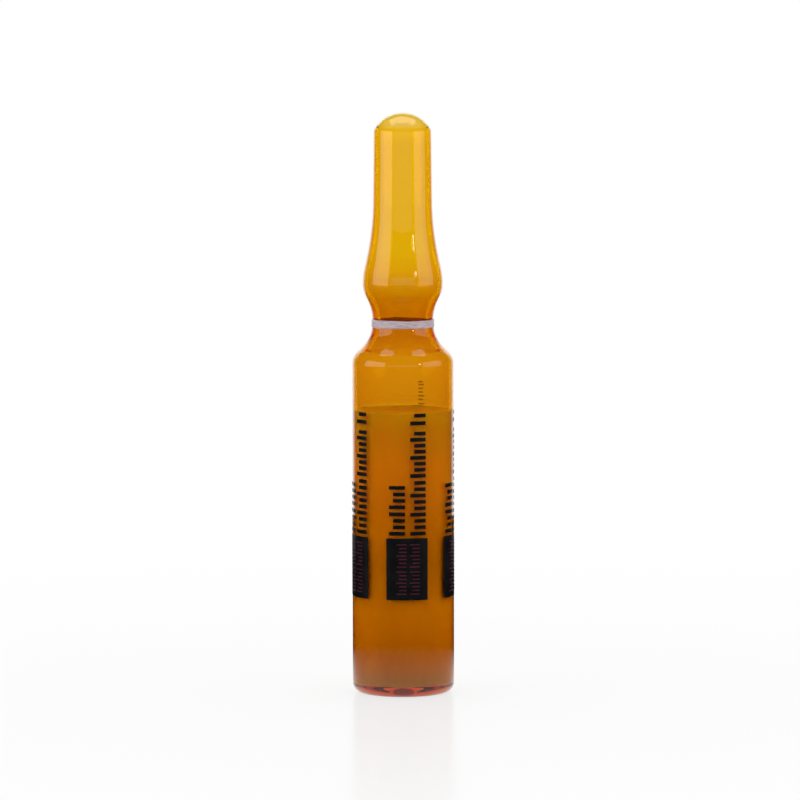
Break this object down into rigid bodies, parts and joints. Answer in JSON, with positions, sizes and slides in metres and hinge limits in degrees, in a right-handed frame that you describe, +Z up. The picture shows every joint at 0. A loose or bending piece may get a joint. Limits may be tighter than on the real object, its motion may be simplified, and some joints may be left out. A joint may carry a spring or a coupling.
{
  "type": "glass ampoule",
  "caption": "Sealed amber glass ampoule with a flat base, long body, waisted neck with an enamel break ring, a bulb and a slim closed stem, filled with liquid.",
  "frame": {"origin": "on the axis of the ampoule, in the plane of the ring of glass it stands on", "axes": "+Z up along the axis from the base to the sealed tip; -Y towards the front of the print"},
  "size_m": [0.0109, 0.0109, 0.0615],
  "materials": {
    "amber_glass": "clear amber, glossy",
    "liquid": "clear liquid",
    "ring_enamel": "satin fired enamel",
    "black_print": "satin fired print",
    "dark_red_print": "satin fired print",
    "batch_print": "thin matt print"
  },
  "bodies": {
    "root": {"glass_envelope": "amber_glass", "liquid_fill": "liquid", "break_ring": "ring_enamel", "batch_mark": "batch_print", "print_panel_1": "black_print", "print_panel_2": "black_print", "print_panel_3": "black_print", "print_panel_4": "black_print", "print_panel_5": "black_print", "print_dashes_1": "black_print", "print_dashes_2": "black_print", "print_dashes_3": "black_print", "print_dashes_4": "black_print", "print_dashes_5": "black_print", "panel_inlay_1": "dark_red_print", "panel_inlay_2": "dark_red_print", "panel_inlay_3": "dark_red_print", "panel_inlay_4": "dark_red_print", "panel_inlay_5": "dark_red_print"}
  },
  "joints": []
}
